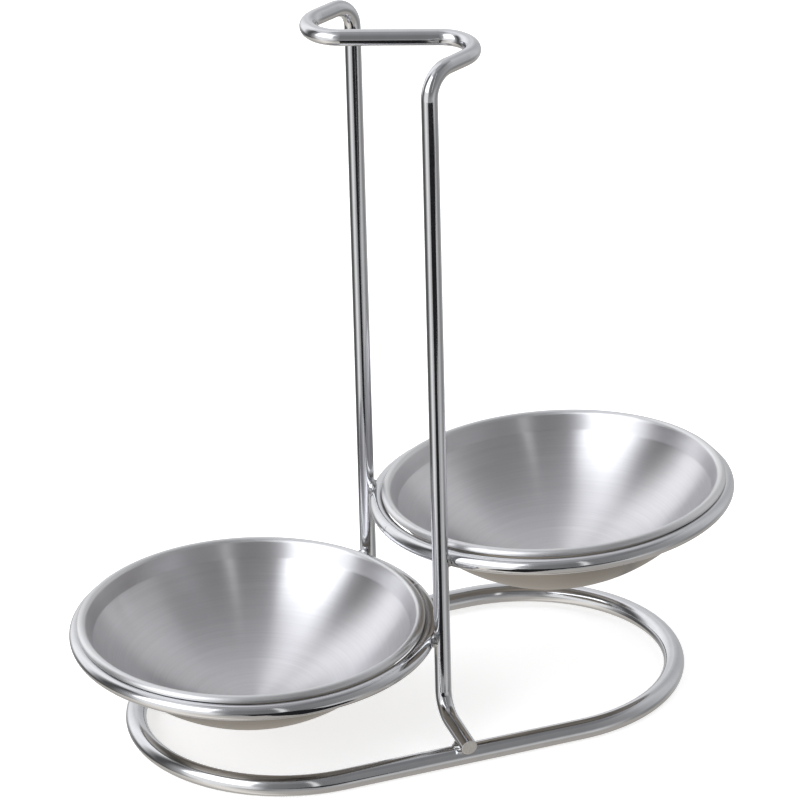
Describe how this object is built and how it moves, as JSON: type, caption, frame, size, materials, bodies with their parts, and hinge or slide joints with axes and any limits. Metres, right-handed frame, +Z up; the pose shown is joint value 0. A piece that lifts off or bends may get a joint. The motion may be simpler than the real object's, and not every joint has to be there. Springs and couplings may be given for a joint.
{
  "type": "double ladle rest",
  "caption": "Upright rest for two ladles: shallow lift-out bowls at two heights in rings on a bent wire stand, oblong base, hooked top.",
  "frame": {"origin": "middle of the oblong base loop, on the table", "axes": "+Z up; X along the base loop's straight sides; the posts stand at -Y and +Y of the origin, the lower, front bowl lies towards -X and the higher, back bowl towards +X"},
  "size_m": [0.2125, 0.1132, 0.223],
  "materials": {
    "wire": "bright, drawn steel wire polished and chrome plated",
    "weld": "bright plating over a slightly uneven weld",
    "bowl": "satin, brushed in circles, with a brighter rolled lip"
  },
  "bodies": {
    "stand": {"base_loop": "wire", "upright_wire": "wire", "front_ring": "wire", "back_ring": "wire", "front_foot_weld": "weld", "back_foot_weld": "weld", "front_ring_weld_front_post": "weld", "front_ring_weld_back_post": "weld", "back_ring_weld_front_post": "weld", "back_ring_weld_back_post": "weld"},
    "front_bowl": {"front_bowl": "bowl"},
    "back_bowl": {"back_bowl": "bowl"}
  },
  "joints": [
    {"name": "front_bowl_lift", "type": "slide", "parent": "stand", "child": "front_bowl", "axis": [0, 0, 1], "range_m": [0, 0.012]},
    {"name": "back_bowl_lift", "type": "slide", "parent": "stand", "child": "back_bowl", "axis": [0, 0, 1], "range_m": [0, 0.06]}
  ]
}
